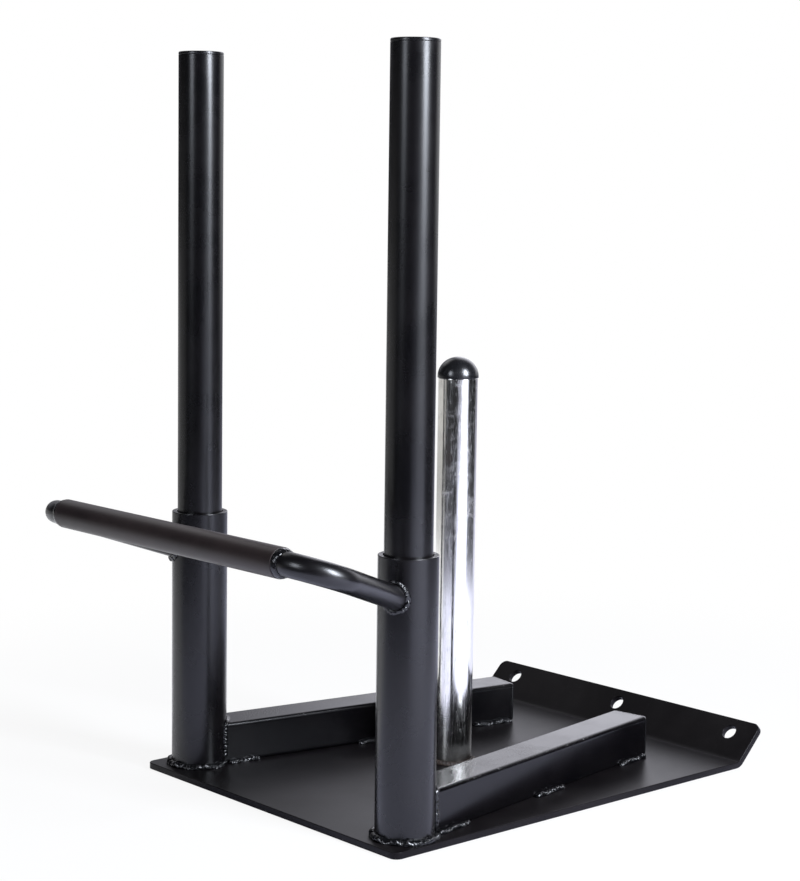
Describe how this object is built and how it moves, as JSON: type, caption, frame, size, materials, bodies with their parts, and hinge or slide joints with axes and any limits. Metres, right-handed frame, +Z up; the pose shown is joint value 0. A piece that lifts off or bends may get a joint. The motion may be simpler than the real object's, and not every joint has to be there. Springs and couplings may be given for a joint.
{
  "type": "weight sled",
  "caption": "Push sled: bent steel skid with tow holes in its lip, box rails, bright post for weight plates, lift-out push poles in welded sockets, and a rear cross handle.",
  "frame": {"origin": "underside of the skid, on the axis of the weight post", "axes": "+Z up along the post and the push poles, +Y forward towards the tow lip, +X to the right of a person who pushes the sled"},
  "size_m": [0.53, 0.7741, 0.8785],
  "materials": {
    "black_powder_coat": "semi-gloss black powder coat",
    "grip_powder_coat": "handled satin brown-black powder coat",
    "painted_weld": "glossy black paint over a rippled weld bead",
    "bare_burnt_weld": "bare weld bead burnt brown",
    "scratched_chrome": "bright chrome with slanted scratches",
    "black_plastic": "satin black moulded plastic"
  },
  "bodies": {
    "sled": {"base_plate": "black_powder_coat", "weight_post": "scratched_chrome", "post_cap": "black_plastic", "grip_tube": "grip_powder_coat", "post_foot_weld": "bare_burnt_weld", "left_socket": "black_powder_coat", "left_rail": "black_powder_coat", "left_rail_plug": "black_plastic", "left_handle_arm": "black_powder_coat", "left_socket_foot_weld": "painted_weld", "left_rail_seam_weld": "painted_weld", "left_rail_outer_rear_stitch": "painted_weld", "left_rail_outer_middle_stitch": "painted_weld", "left_rail_outer_front_stitch": "painted_weld", "left_rail_inner_rear_stitch": "painted_weld", "left_rail_inner_middle_stitch": "painted_weld", "left_rail_inner_front_stitch": "painted_weld", "left_arm_weld": "painted_weld", "left_grip_weld": "painted_weld", "right_socket": "black_powder_coat", "right_rail": "black_powder_coat", "right_rail_plug": "black_plastic", "right_handle_arm": "black_powder_coat", "right_socket_foot_weld": "painted_weld", "right_rail_seam_weld": "painted_weld", "right_rail_outer_rear_stitch": "painted_weld", "right_rail_outer_middle_stitch": "painted_weld", "right_rail_outer_front_stitch": "painted_weld", "right_rail_inner_rear_stitch": "painted_weld", "right_rail_inner_middle_stitch": "painted_weld", "right_rail_inner_front_stitch": "painted_weld", "right_arm_weld": "painted_weld", "right_grip_weld": "painted_weld"},
    "left_pole": {"left_push_pole": "black_powder_coat", "left_pole_cap": "black_plastic"},
    "right_pole": {"right_push_pole": "black_powder_coat", "right_pole_cap": "black_plastic"}
  },
  "joints": [
    {"name": "left_pole_lift", "type": "slide", "parent": "sled", "child": "left_pole", "axis": [0, 0, 1], "range_m": [0, 0.33]},
    {"name": "right_pole_lift", "type": "slide", "parent": "sled", "child": "right_pole", "axis": [0, 0, 1], "range_m": [0, 0.33]}
  ]
}
